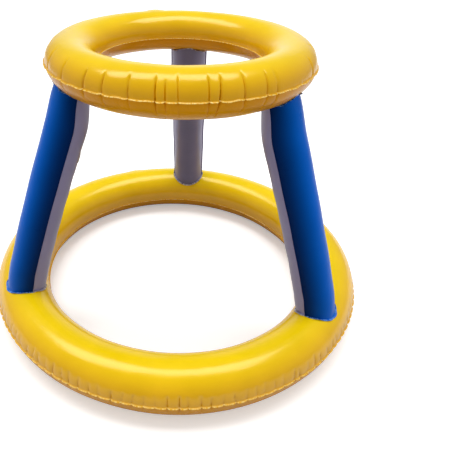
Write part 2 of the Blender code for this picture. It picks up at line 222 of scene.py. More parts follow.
def rolled(out, up, angle):
    """A section's point, turned about the middle of the tube."""
    return out * np.cos(angle) - up * np.sin(angle), out * np.sin(angle) + up * np.cos(angle)


def seam_turn(tube, theta):
    """How far the film at theta is turned round the tube.

    The outer seam, at 0, lies a little above the tube's middle, and the inner one, at a half turn,
    below it. Between them the turn grows evenly.
    """
    return tube.outer_rise + (tube.inner_drop - tube.outer_rise) * np.abs(theta) / math.pi


def film_angle(tube, section_angle):
    """The theta that lies at an angle round the section, found by putting seam_turn in twice."""
    return section_angle - seam_turn(tube, section_angle - seam_turn(tube, section_angle))


def ring_spot(tube, place):
    """Where a valve sits on a ring: its angle round the ring and its angle round the tube."""
    x, y, z = place.origin
    out = math.hypot(x, y) - tube.radius
    section_angle = math.atan2((z - tube.height) / tube.half_height, out / tube.half_width)
    return Spot(math.atan2(y, x) % math.tau, film_angle(tube, section_angle))


def ring_points(tube, valve, phi, theta, out, up):
    """Points of a ring's skin.

    A section point (out, up) from the middle of the tube is pushed along the ellipse's normal by
    the creases and the swells, lifted by the seam's wave, turned by phi round the upright axis,
    and pressed flat by log(1 + e^height) where it would go through the floor.
    """
    calm = calm_near(valve, phi, theta, tube)
    crease = fold_shares(tube.folds, phi, theta, tube.radius + tube.half_width)
    push = -tube.folds.depth * crease
    for swell in RING_SWELLS:
        push = push + swell.height * np.cos(swell.along * phi + swell.phase) * np.cos(
            swell.across * theta + swell.turn
        )
    push = push * calm
    section_angle = theta + seam_turn(tube, theta)
    normal_out = np.cos(section_angle) / tube.half_width
    normal_up = np.sin(section_angle) / tube.half_height
    size = np.hypot(normal_out, normal_up)
    from_axis = tube.radius + out + push * normal_out / size
    wave = tube.folds.wave * (crease - MEAN_CREASE) * calm
    for swell in SEAM_WAVES:
        waves_round = SEAM_WAVES_LEAST + SEAM_WAVES_STEP * swell.along
        wave = wave + swell.height * np.cos(waves_round * phi + swell.phase)
    near_seam = np.clip(1 - np.abs(theta) / SEAM_WAVE_REACH, 0, 1) ** 2
    height = tube.height + up + push * normal_up / size + wave * near_seam
    pressed = FLOOR_SOFTNESS * np.logaddexp(0, height / FLOOR_SOFTNESS)
    height = np.where(height < 3 * FLOOR_SOFTNESS, pressed, height)
    return np.stack(np.broadcast_arrays(from_axis * np.cos(phi), from_axis * np.sin(phi), height), -1)


def seam_strip(width):
    """The film's outside at a weld, from the strip's edge to the tube: a flat strip, then a fillet.

    Gives each point's distance outside the tube and its height above the seam's plane. The fillet
    is a quarter circle.
    """
    lift = FILM + WELD_GAP
    flat = np.linspace(width, SEAM_FILLET, STRIP_STEPS)[:-1]
    turn = np.linspace(-math.pi / 2, -math.pi, FILLET_STEPS)
    beyond = np.concatenate([flat, SEAM_FILLET + SEAM_FILLET * np.cos(turn)])
    above = np.concatenate([np.full(len(flat), lift), lift + SEAM_FILLET + SEAM_FILLET * np.sin(turn)])
    return beyond, above


def hanging_strip(width, droop, side):
    """A seam's strip, bent down along an arc, which turns by droop from the tube to its edge."""
    beyond, above = seam_strip(width)
    bend = droop * beyond / width
    out = width / droop * np.sin(bend) + side * above * np.sin(bend)
    up = -width / droop * (1 - np.cos(bend)) + side * above * np.cos(bend)
    return out, up


GRID_FINE = 0.0018
GRID_COARSE = 0.0055
GRID_PAST_CREASES = 0.05


def with_lines(steps, lines, gap):
    """Grid steps with a valve's own lines in place of the steps among them, or closer than gap."""
    if len(lines) == 0:
        return steps
    apart = (steps < lines[0] - gap) | (steps > lines[-1] + gap)
    return np.sort(np.concatenate([steps[apart], lines]))


def ring_section(tube, side, hole_lines):
    """A sheet's section from the outer seam's edge to the inner one's: theta, out, up and weld.

    An ellipse, with a seam's strip at both ends, turned round the tube by seam_turn. The points are
    close together next to the outer seam, where the creases are. The weld share is 1 on a strip's
    edge, where the material paints a pale highlight.
    """
    outer_out, outer_up = hanging_strip(tube.outer_seam, OUTER_SEAM_DROOP, side)
    inner_out, inner_up = hanging_strip(tube.inner_seam, INNER_SEAM_DROOP, side)
    start = math.asin((FILM + WELD_GAP + SEAM_FILLET) / tube.half_height)
    last = tube.folds.reaches.max() + GRID_PAST_CREASES
    fine = np.arange(start, last, GRID_FINE / tube.half_width)[1:]
    coarse_steps = int((math.pi - fine[-1]) * tube.half_width / GRID_COARSE)
    coarse = np.linspace(fine[-1], math.pi - start, coarse_steps)
    angles = with_lines(np.concatenate([fine, coarse[1:-1]]), hole_lines, gap=0.02)
    strip = np.zeros(len(outer_out))
    theta = np.concatenate([strip, side * angles, strip + side * math.pi])
    outer_out, outer_up = rolled(outer_out, outer_up, tube.outer_rise)
    inner_out, inner_up = rolled(-inner_out[::-1], inner_up[::-1], tube.inner_drop)
    flat = np.zeros(len(angles))
    section_angle = theta + seam_turn(tube, theta)
    out = tube.half_width * np.cos(section_angle) + np.concatenate([outer_out, flat, inner_out])
    up = tube.half_height * np.sin(section_angle) + np.concatenate([outer_up, flat, inner_up])
    beyond, _ = seam_strip(tube.outer_seam)
    highlight_edge = smooth_step(*HIGHLIGHT_EDGE_SHARES, beyond / tube.outer_seam)
    weld = np.concatenate([highlight_edge, flat, highlight_edge[::-1]])
    return (theta, out, up, weld) if side > 0 else (theta[::-1], out[::-1], up[::-1], weld[::-1])


def ring_steps(folds, per_crease, hole_lines):
    """Angles round a ring, from each crease to the next in per_crease steps.

    The step number k of n lies the mean of k / n and (1 - cos(pi k / n)) / 2 of the way on, so
    that the steps are short at the creases.
    """
    places = folds.places
    widths = np.diff(np.append(places, places[0] + math.tau))
    shares = (1 - np.cos(np.arange(per_crease) / per_crease * math.pi)) / 2
    shares = (shares + np.arange(per_crease) / per_crease) / 2
    steps = np.sort((places[:, None] + widths[:, None] * shares).ravel() % math.tau)
    return with_lines(steps, hole_lines, gap=0.004)


def lines_at_hole(middle, radius_of_turn):
    """Grid lines a quarter of the hole's radius apart, out to two and a half radii on both sides."""
    reach = np.linspace(-HOLE_LINES_REACH, HOLE_LINES_REACH, HOLE_LINES)
    return middle + reach * FILM_HOLE / radius_of_turn


def round_hole(along, across):
    """Draws the grid squares round a valve into circles, and says which points lie in the hole.

    along and across are distances from the valve on the film. A square ring of half side q becomes
    a circle of radius q at the hole, and stays square from 2.4 radii out.
    """
    square = np.maximum(np.abs(along), np.abs(across))
    circle = np.maximum(np.hypot(along, across), TINY)
    weight = 1 - smooth_step(FILM_HOLE, HOLE_BLEND, square)
    scale = 1 + weight * (square / circle - 1)
    return along * scale, across * scale, square < FILM_HOLE * HOLE_MARGIN


def flatten_at(place, points):
    """Lays the film on the plane of a valve's flange, and blends it back into the tube round that."""
    local = (points - place.origin) @ place.axes.T
    away = np.hypot(local[..., 0], local[..., 1])
    weight = 1 - smooth_step(FLAT_ROUND_VALVE, VALVE_BLEND, away)
    weight = np.where(np.abs(local[..., 2]) < VALVE_BLEND / 2, weight, 0)
    local[..., 2] *= 1 - weight
    return local @ place.axes + place.origin


FILM_SHARP_EDGE = math.radians(60)


def grid_quads(index, wraps_down, wraps_across):
    """The four corners of each square of a grid of point numbers, as rows of four.

    A grid that wraps has the squares that close it on itself too.
    """
    below = np.roll(index, -1, axis=0)
    quads = np.stack([index, below, np.roll(below, -1, axis=1), np.roll(index, -1, axis=1)], -1)
    quads = quads if wraps_down else quads[:-1]
    quads = quads if wraps_across else quads[:, :-1]
    return quads.reshape(-1, 4)


def film_object(name, points, shares, wraps, in_hole):
    """A closed sheet of film from a grid of points, its outside face first and its thickness inwards.

    The grid's two directions, crossed, point out of the tube. The shares, such as weld and crown,
    are kept as attributes for the material, and the UV map holds the way along both directions in
    metres.
    """
    rows, columns = points.shape[:2]
    index = np.arange(rows * columns).reshape(rows, columns)
    quads = grid_quads(index, wraps_down=wraps, wraps_across=False)
    closed = np.concatenate([points, points[:1]]) if wraps else points
    along = np.linalg.norm(np.diff(closed, axis=0), axis=2).mean(1)
    along = np.concatenate([[0], np.cumsum(along)])
    across = np.linalg.norm(np.diff(points, axis=1), axis=2).mean(0)
    across = np.concatenate([[0], np.cumsum(across)])
    i, j = np.divmod(np.arange(len(quads)), columns - 1)
    corners_u = np.stack([along[i], along[i + 1], along[i + 1], along[i]], -1)
    corners_v = np.stack([across[j], across[j], across[j + 1], across[j + 1]], -1)
    if in_hole is not None:
        kept = ~in_hole.ravel()[quads].all(1)
        quads, corners_u, corners_v = quads[kept], corners_u[kept], corners_v[kept]
    used, quads = np.unique(quads, return_inverse=True)
    quads = quads.reshape(-1, 4)
    mesh = bpy.data.meshes.new(name)
    mesh.from_pydata(points.reshape(-1, 3)[used], [], quads)
    for label, values in shares.items():
        attribute = mesh.attributes.new(label, "FLOAT", "POINT")
        spread = np.broadcast_to(values, (rows, columns)).ravel()[used]
        attribute.data.foreach_set("value", spread.astype(np.float32))
    layer = mesh.uv_layers.new(name="film")
    pairs = np.stack([corners_u.ravel(), corners_v.ravel()], -1)
    layer.uv.foreach_set("vector", pairs.astype(np.float32).ravel())
    piece = bpy.data.objects.new(name, mesh)
    bpy.context.scene.collection.objects.link(piece)
    sheet = piece.modifiers.new("film thickness", "SOLIDIFY")
    sheet.thickness = FILM
    sheet.offset = -1
    graph = bpy.context.evaluated_depsgraph_get()
    piece.data = bpy.data.meshes.new_from_object(piece.evaluated_get(graph))
    piece.modifiers.clear()
    piece.data.name = name
    piece.data.shade_smooth()
    piece.data.set_sharp_from_angle(angle=FILM_SHARP_EDGE)
    bpy.data.meshes.remove(mesh)
    return piece


GATHER_FADE = math.radians(9)


def ring_film(name, tube, side, per_crease, place):
    """One sheet of a ring, 1 for the upper side and -1 for the lower, with a round hole for its valve.

    Its shares: crown is sin² of the way round the tube, 0 at both seams. gather falls off from the
    outer seam as exp(-angle / GATHER_FADE), and fold is the square of how deep the film lies in a
    crease. The material paints shade with crown and fold.
    """
    spot = ring_spot(tube, place) if place else None
    phi_lines, theta_lines, in_hole = [], [], None
    if place:
        reach = math.hypot(*place.origin[:2])
        phi_lines = lines_at_hole(spot.phi, reach)
        theta_lines = lines_at_hole(spot.theta, tube.half_width)
    theta, out, up, weld = ring_section(tube, side, theta_lines)
    steps = ring_steps(tube.folds, per_crease, phi_lines)
    phi_grid, theta_grid = np.meshgrid(steps, theta, indexing="ij")
    if place:
        along = (phi_grid - spot.phi) * reach
        across = (theta_grid - spot.theta) * tube.half_width
        along, across, in_hole = round_hole(along, across)
        phi_grid = spot.phi + along / reach
        moved = spot.theta + across / tube.half_width
        on_tube = np.abs(np.sin(theta)) > TINY
        section_angle = moved + seam_turn(tube, moved)
        out = np.where(on_tube, tube.half_width * np.cos(section_angle), out)
        up = np.where(on_tube, tube.half_height * np.sin(section_angle), up)
        theta_grid = np.where(on_tube, moved, theta_grid)
    points = ring_points(tube, spot, phi_grid, theta_grid, out, up)
    if place:
        points = flatten_at(place, points)
    crease = fold_shares(tube.folds, phi_grid, theta_grid, tube.radius + tube.half_width)
    shares = {
        "weld": weld,
        "crown": np.sin(theta) ** 2,
        "gather": np.exp(-np.abs(theta) / GATHER_FADE),
        "fold": tube.folds.shade * crease**2,
    }
    return film_object(name, points, shares, wraps=True, in_hole=in_hole)


def dress(piece, material, body, node):
    """Gives a piece its material, and puts it on a body in place of its node."""
    piece.data.materials.append(material)
    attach(piece, body)
    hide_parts(node)


def linear(hex_colour):
    """An sRGB hex colour as linear red, green and blue with alpha 1."""
    parts = [int(hex_colour[i : i + 2], 16) / 255 for i in (1, 3, 5)]
    return (*[p / 12.92 if p <= 0.04045 else ((p + 0.055) / 1.055) ** 2.4 for p in parts], 1)


def add_node(tree, kind, settings=(), inputs=(), links=()):
    """Adds a node, sets its properties and socket values, and links sockets of other nodes to it."""
    node = tree.nodes.new(kind)
    for name, value in dict(settings).items():
        setattr(node, name, value)
    for name, value in dict(inputs).items():
        node.inputs[name].default_value = value
    for name, source in dict(links).items():
        tree.links.new(source, node.inputs[name])
    return node


# A film's colours: crown and seam are the two ends of a painted shade and sheen across the sheet, weld is a
# painted highlight on welded edges, fold a painted shade in creases, and gloss tints the reflections.
FilmColours = namedtuple("FilmColours", "crown seam weld fold gloss")
GATHER_SPACING = 0.0032
GATHER_LENGTH = 0.030
MOTTLE_SIZE = 0.045
WAVER_SIZE = 0.016
GRAIN_SIZE = 0.0022
GATHER_DEPTH = 0.0012
WAVER_DEPTH = 0.0004
GRAIN_DEPTH = 0.00006
PVC_IOR = 1.53


def film_material(name, colours, roughness, specular):
    """Calendered PVC film: smooth and glossy, with a faint unevenness that makes reflections waver.

    The colour goes from the seams' to the crown's along the crown attribute, which paints shade and
    sheen across the sheet. It goes to the fold's in the bottom of a crease, a painted shade, and to the
    weld's in dashes on the strips and hems, a painted highlight. The mottle, the waver and the grain are
    noise on Object coordinates. The grain is finer than a pixel of the photograph, so it is drawn 2.2 mm
    coarse. The short gathers next to the outer seam are noise on the film's own UV map, drawn out across
    the seam.
    """
    material = bpy.data.materials.new(name)
    material.use_nodes = True
    tree = material.node_tree
    shader = tree.nodes["Principled BSDF"]
    place = add_node(tree, "ShaderNodeTexCoord")
    crown = add_node(tree, "ShaderNodeAttribute", {"attribute_name": "crown"})
    weld = add_node(tree, "ShaderNodeAttribute", {"attribute_name": "weld"})
    mottle = add_node(
        tree,
        "ShaderNodeTexNoise",
        inputs={"Scale": 1 / MOTTLE_SIZE, "Detail": 3, "Roughness": 0.55},
        links={"Vector": place.outputs["Object"]},
    )
    body = add_node(
        tree,
        "ShaderNodeMix",
        {"data_type": "RGBA"},
        {6: linear(colours.seam), 7: linear(colours.crown)},
        {0: crown.outputs["Fac"]},
    )
    fold = add_node(tree, "ShaderNodeAttribute", {"attribute_name": "fold"})
    folded = add_node(
        tree,
        "ShaderNodeMix",
        {"data_type": "RGBA"},
        {7: linear(colours.fold)},
        {0: fold.outputs["Fac"], 6: body.outputs[2]},
    )
    shade = add_node(
        tree,
        "ShaderNodeMapRange",
        inputs={"From Min": 0.3, "From Max": 0.7, "To Min": 0.96, "To Max": 1.04},
        links={"Value": mottle.outputs["Fac"]},
    )
    mottled = add_node(
        tree,
        "ShaderNodeVectorMath",
        {"operation": "SCALE"},
        links={0: folded.outputs[2], "Scale": shade.outputs["Result"]},
    )
    film_map = add_node(tree, "ShaderNodeUVMap", {"uv_map": "film"})
    stretched = add_node(
        tree,
        "ShaderNodeVectorMath",
        {"operation": "MULTIPLY"},
        {1: (1 / GATHER_SPACING, 1 / GATHER_LENGTH, 0)},
        {0: film_map.outputs["UV"]},
    )
    wrinkle = add_node(
        tree,
        "ShaderNodeTexNoise",
        inputs={"Scale": 1.0, "Detail": 2, "Roughness": 0.6},
        links={"Vector": stretched.outputs["Vector"]},
    )
    pale = add_node(
        tree,
        "ShaderNodeMapRange",
        inputs={"From Min": 0.42, "From Max": 0.58},
        links={"Value": wrinkle.outputs["Fac"]},
    )
    # Pale dashes along welded edges and hems: a painted highlight, broken by the gather noise.
    highlight_dashes = add_node(
        tree,
        "ShaderNodeMath",
        {"operation": "MULTIPLY"},
        links={0: weld.outputs["Fac"], 1: pale.outputs["Result"]},
    )
    colour = add_node(
        tree,
        "ShaderNodeMix",
        {"data_type": "RGBA"},
        {7: linear(colours.weld)},
        {0: highlight_dashes.outputs[0], 6: mottled.outputs["Vector"]},
    )
    grain = add_node(
        tree,
        "ShaderNodeTexNoise",
        inputs={"Scale": 1 / GRAIN_SIZE, "Detail": 2, "Roughness": 0.5},
        links={"Vector": place.outputs["Object"]},
    )
    waver = add_node(
        tree,
        "ShaderNodeTexNoise",
        inputs={"Scale": 1 / WAVER_SIZE, "Detail": 1, "Roughness": 0.4},
        links={"Vector": place.outputs["Object"]},
    )
    gather = add_node(tree, "ShaderNodeAttribute", {"attribute_name": "gather"})
    gathered = add_node(
        tree,
        "ShaderNodeMath",
        {"operation": "MULTIPLY"},
        links={0: wrinkle.outputs["Fac"], 1: gather.outputs["Fac"]},
    )
    gather_bump = add_node(
        tree,
        "ShaderNodeBump",
        inputs={"Strength": 0.9, "Distance": GATHER_DEPTH},
        links={"Height": gathered.outputs[0]},
    )
    fine_bump = add_node(
        tree,
        "ShaderNodeBump",
        inputs={"Strength": 0.25, "Distance": GRAIN_DEPTH},
        links={"Height": grain.outputs["Fac"], "Normal": gather_bump.outputs["Normal"]},
    )
    bump = add_node(
        tree,
        "ShaderNodeBump",
        inputs={"Strength": 0.5, "Distance": WAVER_DEPTH},
        links={"Height": waver.outputs["Fac"], "Normal": fine_bump.outputs["Normal"]},
    )
    rough = add_node(
        tree,
        "ShaderNodeMapRange",
        inputs={"From Min": 0.3, "From Max": 0.7, "To Min": roughness - 0.03, "To Max": roughness + 0.04},
        links={"Value": mottle.outputs["Fac"]},
    )
    shader.inputs["IOR"].default_value = PVC_IOR
    shader.inputs["Specular IOR Level"].default_value = specular
    shader.inputs["Specular Tint"].default_value = linear(colours.gloss)
    tree.links.new(colour.outputs[2], shader.inputs["Base Color"])
    tree.links.new(rough.outputs["Result"], shader.inputs["Roughness"])
    tree.links.new(bump.outputs["Normal"], shader.inputs["Normal"])
    return material


# Yellow calendered PVC film: an opaque lemon yellow over the crown, coloured deeper towards the
# welds as a painted shade where the tube turns away from the light. The welded strips are painted
# lighter along their edge as a highlight, and the lower sheets are a darker amber copy of the same
# film: painted shade.
YELLOW = FilmColours("#FFDA00", "#F0B000", "#FFE07A", "#B06C00", "#FFF5CC")
UNDERSIDE_SHADE = FilmColours("#F2B000", "#E89B00", "#F8C860", "#9C5A00", "#FFE890")
yellow_film = film_material("calendered_yellow_pvc_film", YELLOW, roughness=0.20, specular=0.68)
underside_shade_film = film_material("calendered_yellow_pvc_film_painted_shade_underside", UNDERSIDE_SHADE, roughness=0.24, specular=0.30)


def dress_ring(ring, tube, per_crease):
    """Makes both sheets of a ring. The valve is in the upper one, and the lower one gets the darker
    amber copy of the film, a painted shade.
    """
    upper = ring_film(f"{ring}_upper_film", tube, 1, per_crease, valve_place(ring))
    dress(upper, yellow_film, "hoop", f"{ring}_upper_panel")
    lower = ring_film(f"{ring}_lower_film", tube, -1, per_crease, None)
    dress(lower, underside_shade_film, "hoop", f"{ring}_lower_panel")


base_folds = gathered_folds(
    jittered_places(BASE_CREASES, seed=11, spread=BASE_CREASE_JITTER),
    seed=12,
    depth=BASE_CREASE_DEPTH,
    width=BASE_CREASE_WIDTH,
    reach=BASE_CREASE_REACH,
    under_share=BASE_CREASE_UNDER,
    wave=BASE_SEAM_WAVE,
    shade=BASE_CREASE_SHADE,
)
BASE_TUBE = Tube(
    radius=BASE_MIDDLE_RADIUS,
    half_width=BASE_HALF_WIDTH,
    half_height=BASE_HALF_HEIGHT,
    height=BASE_SEAM_HEIGHT,
    outer_seam=BASE_OUTER_SEAM,
    inner_seam=BASE_INNER_SEAM,
    outer_rise=BASE_OUTER_RISE,
    inner_drop=BASE_INNER_DROP,
    folds=base_folds,
)
dress_ring("base_ring", BASE_TUBE, BASE_STEPS_PER_CREASE)

# Hoop ring. The tube round the goal's opening, made like the base ring from the same film. It is
# narrower and smaller round, so its outer wall gathers in fewer and much deeper creases.
hoop_low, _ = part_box("hoop_ring_upper_panel")
HOOP_OUTER_SEAM = 0.0022
HOOP_INNER_SEAM = 0.0018
HOOP_HALF_WIDTH = 0.0323
HOOP_HALF_HEIGHT = 0.0271
HOOP_SEAM_HEIGHT = hoop_low.z - WELD_GAP
HOOP_MIDDLE_RADIUS = 0.1447
HOOP_OUTER_RISE = math.radians(2)
HOOP_INNER_DROP = math.radians(9)
FRONT_CREASES_DEG = (-48.5, -35.5, -26.7, -16.4, -6.8, -3.4, 1, 11.5, 15.2, 24.5, 33.6, 38.4)
OTHER_CREASES = 13
OTHER_CREASES_DEG = (62, 292)
OTHER_CREASE_JITTER = 0.25
HOOP_CREASE_DEPTH = 0.0042
HOOP_CREASE_WIDTH = 0.0009
HOOP_CREASE_REACH = math.radians(66)
HOOP_CREASE_UNDER = 0.5
HOOP_CREASE_SHADE = 0.9
HOOP_SEAM_WAVE = 0.0007
HOOP_STEPS_PER_CREASE = 28


def hoop_crease_places():
    """The creases seen in front, measured from the front, and evenly spaced ones round the rest."""
    rest, step = np.linspace(*OTHER_CREASES_DEG, OTHER_CREASES, retstep=True)
    random = np.random.default_rng(21)
    rest = rest + random.uniform(-OTHER_CREASE_JITTER, OTHER_CREASE_JITTER, OTHER_CREASES) * step
    from_front = np.radians(np.concatenate([FRONT_CREASES_DEG, rest]))
    return np.sort((from_front - math.pi / 2) % math.tau)


hoop_folds = gathered_folds(
    hoop_crease_places(),
    seed=22,
    depth=HOOP_CREASE_DEPTH,
    width=HOOP_CREASE_WIDTH,
    reach=HOOP_CREASE_REACH,
    under_share=HOOP_CREASE_UNDER,
    wave=HOOP_SEAM_WAVE,
    shade=HOOP_CREASE_SHADE,
)
HOOP_TUBE = Tube(
    radius=HOOP_MIDDLE_RADIUS,
    half_width=HOOP_HALF_WIDTH,
    half_height=HOOP_HALF_HEIGHT,
    height=HOOP_SEAM_HEIGHT,
    outer_seam=HOOP_OUTER_SEAM,
    inner_seam=HOOP_INNER_SEAM,
    outer_rise=HOOP_OUTER_RISE,
    inner_drop=HOOP_INNER_DROP,
    folds=hoop_folds,
)
dress_ring("hoop_ring", HOOP_TUBE, HOOP_STEPS_PER_CREASE)

# Legs. Three leaning round tubes, each an outer sheet of blue film and a narrower inner sheet of
# grey film, welded along two sides. Each end is cut to the ring that it stands on or hangs under,
# and its flared hem is welded on the ring's skin, with a free rim that curls up a little.
LEG_ANGLES_DEG = {"back": 86.4, "left": 206.4, "right": 326.4}
LEG_FOOT_RADIUS = 0.0287
LEG_HEAD_RADIUS = 0.0274
LEG_FOOT_INSET = 0.0013
LEG_FOOT_PULL = 0.0060
LEG_FOOT_DRAW = 0.0400
LEG_HEAD_DRAW = 0.0500
LEG_BEND_SHARE = 0.66
LEG_SEAM_WIDTH = 0.0018
LEG_HEM_WIDTH = 0.0032
LEG_FOOT_EAR = 0.0030
LEG_HEAD_EAR = 0.0012
LEG_EAR_TIP = 0.0010
LEG_SKIN_GAP = 0.0001
LEG_OFF_SKIN = FILM + LEG_SKIN_GAP
LEG_GRID = 0.0019
HEM_CURL = 0.0007
HEM_CURL_MEAN = 1.2
HEM_CURL_WAVES = (5, 11)
WELD_GRIP_SHARE = 0.80
OUTER_SHEET_HALF_ANGLE = math.radians(94)
SHEET_MIDDLE = {"outer": 0, "inner": math.pi}
SHEET_HALF = {"outer": OUTER_SHEET_HALF_ANGLE, "inner": math.pi - OUTER_SHEET_HALF_ANGLE}

LegEnd = namedtuple("LegEnd", "tube side place radius pull ear")
LegSection = namedtuple("LegSection", "angle beyond lift")
FOOT_END = LegEnd(
    tube=BASE_TUBE,
    side=1,
    place=BASE_MIDDLE_RADIUS - LEG_FOOT_INSET,
    radius=LEG_FOOT_RADIUS,
    pull=LEG_FOOT_PULL,
    ear=LEG_FOOT_EAR,
)
HEAD_END = LegEnd(
    tube=HOOP_TUBE,
    side=-1,
    place=HOOP_MIDDLE_RADIUS,
    radius=LEG_HEAD_RADIUS,
    pull=0,
    ear=LEG_HEAD_EAR,
)
leg_foot = np.array([FOOT_END.place, 0, BASE_SEAM_HEIGHT + BASE_HALF_HEIGHT])
leg_head = np.array([HEAD_END.place, 0, HOOP_SEAM_HEIGHT - HOOP_HALF_HEIGHT])
leg_length = float(np.linalg.norm(leg_head - leg_foot))
leg_axis = (leg_head - leg_foot) / leg_length
leg_lean = math.atan2(-leg_axis[0], leg_axis[2])
leg_out = np.array([math.cos(leg_lean), 0, math.sin(leg_lean)])
leg_side = np.array([0.0, 1.0, 0.0])
LEG_SWELLS = swells(6, seed=8, height=0.00018)
GREY_SWELLS = swells(5, seed=9, height=0.00020)
SWELL_RATE = 9


def turned_about_z(turn):
    """The turn of a leg round the upright axis, as a matrix."""
    return np.array(Matrix.Rotation(turn, 3, "Z"))


def weld_points(end, turn, out, across, rise, hem):
    """Where the leg's skin meets a ring, for section points (out, across) in shares of the radius.

    The points keep their distance from the tube's middle, square to the leg, which gives an angle
    round the tube by arcsine. hem moves them on over the ring's skin, away from the leg, and rise
    lifts them off the skin.
    """
    tube, side, place, radius, pull, _ = end
    wide = tube.half_width * math.cos(leg_lean)
    tall = tube.half_height * math.sin(leg_lean)
    widest = math.hypot(wide, tall)
    tilt = side * math.atan2(tall, wide)
    middle = (place - tube.radius) * math.cos(leg_lean) + side * tall - pull
    farthest = min(middle + radius, WELD_GRIP_SHARE * widest)
    nearest = max(middle - radius, -WELD_GRIP_SHARE * widest)
    weld_middle = (farthest + nearest) / 2
    sideways = across * radius
    bow = (tube.radius - np.sqrt(tube.radius**2 - sideways**2)) * math.cos(leg_lean)
    distance = weld_middle + out * (farthest - nearest) / 2 + bow
    angle = np.arcsin(np.clip(distance / widest, -1, 1)) - tilt
    centre = math.asin(weld_middle / widest) - tilt
    mean_half = (tube.half_width + tube.half_height) / 2
    away = np.stack([(angle - centre) * mean_half, sideways], -1)
    away = away / np.linalg.norm(away, axis=-1, keepdims=True)
    angle = angle + away[..., 0] * hem / mean_half
    sideways = sideways + away[..., 1] * hem
    section_angle = side * (math.pi / 2 - angle)
    theta = film_angle(tube, section_angle)
    section_out = (tube.half_width + rise) * np.cos(section_angle)
    section_up = (tube.half_height + rise) * np.sin(section_angle)
    phi = turn + np.arcsin(sideways / (tube.radius + section_out))
    return ring_points(tube, None, phi, theta, section_out, section_up)


def leg_section(sheet, hole_lines):
    """One sheet's section: its angles round the leg, how far it is beyond the tube, and its lift.

    The seam's strip and fillet lie along the leg's radius at both ends, lifted square to it.
    """
    middle, half = SHEET_MIDDLE[sheet], SHEET_HALF[sheet]
    beyond, above = seam_strip(LEG_SEAM_WIDTH)
    start = half - above[-1] / LEG_FOOT_RADIUS
    angles = np.linspace(-start, start, int(2 * start * LEG_FOOT_RADIUS / LEG_GRID))[1:-1] + middle
    angles = with_lines(angles, hole_lines, gap=0.03)
    ends = np.full(len(beyond), half)
    flat = np.zeros(len(angles))
    return LegSection(
        angle=np.concatenate([middle - ends, angles, middle + ends]),
        beyond=np.concatenate([beyond, flat, beyond[::-1]]),
        lift=np.concatenate([above, flat, -above[::-1]]),
    )


HEM_ROWS = np.array([1.0, 0.93, 0.8, 0.6, 0.4, 0.22, 0.1])
BODY_STRETCHES = ((0, 0.014, 7), (0.014, 0.30, 36), (0.30, 0.84, 44), (0.84, 0.98, 22), (0.98, 1.0, 7))


def leg_rows(hole_lines):
    """Rows of a leg's sheet: -1 to 0 is the foot's hem, 0 to 1 the leg, and 1 to 2 the head's hem."""
    body = np.unique(np.concatenate([np.linspace(*stretch) for stretch in BODY_STRETCHES]))
    body = with_lines(body, hole_lines, gap=0.004)
    return np.concatenate([-HEM_ROWS, body, 1 + HEM_ROWS[::-1]])


def hermite(start, start_slope, stop, stop_slope, t):
    """The cubic that leaves start along its slope and comes into stop along its own."""
    rising = t * t * (3 - 2 * t)
    return (
        (1 - rising) * start
        + t * (1 - t) ** 2 * start_slope
        + rising * stop
        - t * t * (1 - t) * stop_slope
    )


def straight_points(section, angle, along, calm, turn, sheet):
    """The straight part of a leg, at distances along its line: its section, with slow swells.

    The radius goes evenly from the foot's to the head's. The foot's end bends towards the middle of
    the ring by its pull times (1 - way to the bend's end) squared.
    """
    radius = LEG_FOOT_RADIUS + (LEG_HEAD_RADIUS - LEG_FOOT_RADIUS) * along / leg_length
    push = 0
    for swell in LEG_SWELLS:
        push = push + swell.height * np.cos(swell.along * along * SWELL_RATE + swell.phase + turn) * np.cos(
            swell.across * angle + swell.turn
        )
    if sheet == "inner":
        from_seam = np.cos((angle - SHEET_MIDDLE[sheet]) / SHEET_HALF[sheet] * math.pi / 2)
        for swell in GREY_SWELLS:
            wave = np.cos(swell.along * along * SWELL_RATE + swell.phase + turn)
            push = push + swell.height * from_seam * wave
    reach = radius + section.beyond[:, None] + push * calm
    lift = section.lift[:, None]
    bend = LEG_FOOT_PULL * np.clip(1 - along / (LEG_BEND_SHARE * leg_length), 0, 1) ** 2
    out = reach * np.cos(angle) - lift * np.sin(angle) - bend
    across = reach * np.sin(angle) + lift * np.cos(angle)
    points = leg_foot + along[..., None] * leg_axis + out[..., None] * leg_out + across[..., None] * leg_side
    return points @ turned_about_z(turn).T


def weld_row(end, turn, section, hem, more=0):
    """One row on a ring, at hem of the way over the hem, and more off the ring's skin.

    The seams' strips end in small ears that stand off the skin. The hem's rim curls up by
    HEM_CURL * (mean + two sines round the leg) * hem cubed.
    """
    reach = 1 + section.beyond / end.radius
    lift = section.lift / end.radius
    out = reach * np.cos(section.angle) - lift * np.sin(section.angle)
    across = reach * np.sin(section.angle) + lift * np.cos(section.angle)
    on_strip = section.beyond / LEG_SEAM_WIDTH
    ear = on_strip * (end.ear + (LEG_EAR_TIP - end.ear) * hem)
    slow, fast = HEM_CURL_WAVES
    waves = HEM_CURL_MEAN + np.sin(slow * section.angle + turn) + np.sin(fast * section.angle)
    curl = HEM_CURL * waves * hem**3
    width = hem * (LEG_HEM_WIDTH - on_strip * LEG_SEAM_WIDTH)
    rise = LEG_OFF_SKIN + ear + curl * (1 - on_strip) + more
    return weld_points(end, turn, out, across, rise, width)


NORMAL_STEP = 0.001
LEAVING_ALONG, LEAVING_OFF = 0.8, 0.25


